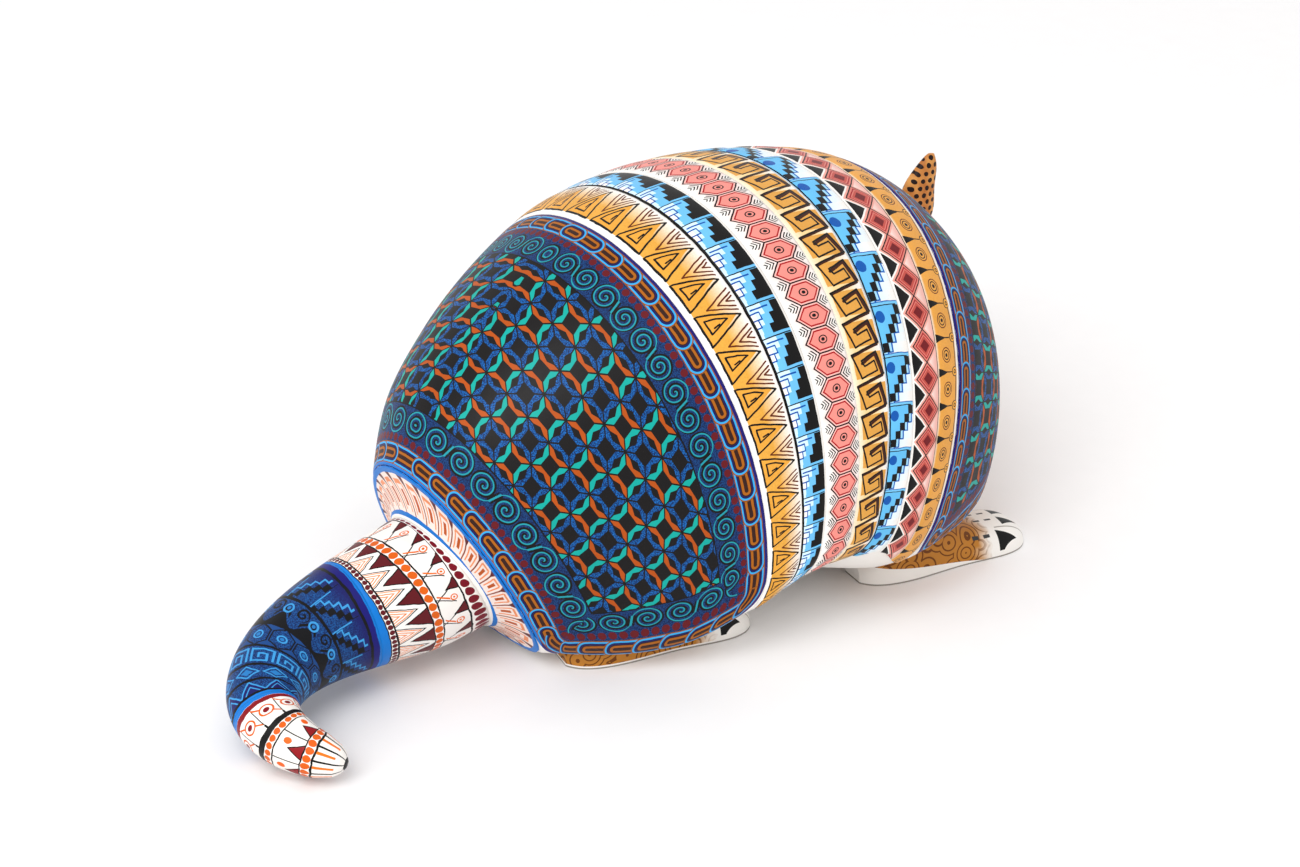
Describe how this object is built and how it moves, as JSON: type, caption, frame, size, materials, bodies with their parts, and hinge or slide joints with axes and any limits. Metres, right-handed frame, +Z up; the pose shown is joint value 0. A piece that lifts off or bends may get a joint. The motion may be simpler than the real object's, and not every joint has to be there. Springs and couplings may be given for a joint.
{
  "type": "alebrije figure",
  "caption": "Carved and painted wooden armadillo with banded shell, turned head, curled tail and flat-soled feet; ears and tail pull off their tenons.",
  "frame": {"origin": "on the floor, under the middle of the whole figure's box", "axes": "+Z up; the animal looks along -Y and its tail is at +Y; its right flank is at -X"},
  "size_m": [0.1938, 0.3685, 0.1496],
  "materials": {
    "painted_body": "satin acrylic paint on carved copal wood, banded patterns",
    "painted_head": "satin acrylic paint on carved copal wood",
    "painted_tail": "satin acrylic paint on carved copal wood, ringed patterns",
    "painted_ear": "satin acrylic paint on carved copal wood, spotted",
    "painted_leg": "satin white acrylic paint with ochre scrolls",
    "bare_wood": "raw whittled wood"
  },
  "bodies": {
    "figure": {"body_block": "painted_body", "head": "painted_head", "leg_front_right": "painted_leg", "leg_front_left": "painted_leg", "leg_rear_right": "painted_leg", "leg_rear_left": "painted_leg", "leg_dowel_front_right": "bare_wood", "leg_dowel_front_left": "bare_wood", "leg_dowel_rear_right": "bare_wood", "leg_dowel_rear_left": "bare_wood"},
    "tail": {"tail": "painted_tail"},
    "ear_right": {"ear_right": "painted_ear"},
    "ear_left": {"ear_left": "painted_ear"}
  },
  "joints": [
    {"name": "tail_pull", "type": "slide", "parent": "figure", "child": "tail", "axis": [0, 1, 0], "range_m": [0, 0.032]},
    {"name": "ear_right_pull", "type": "slide", "parent": "figure", "child": "ear_right", "axis": [-0.024, -0.0838, 0.9962], "range_m": [0, 0.011]},
    {"name": "ear_left_pull", "type": "slide", "parent": "figure", "child": "ear_left", "axis": [0.024, 0.0838, 0.9962], "range_m": [0, 0.011]}
  ]
}
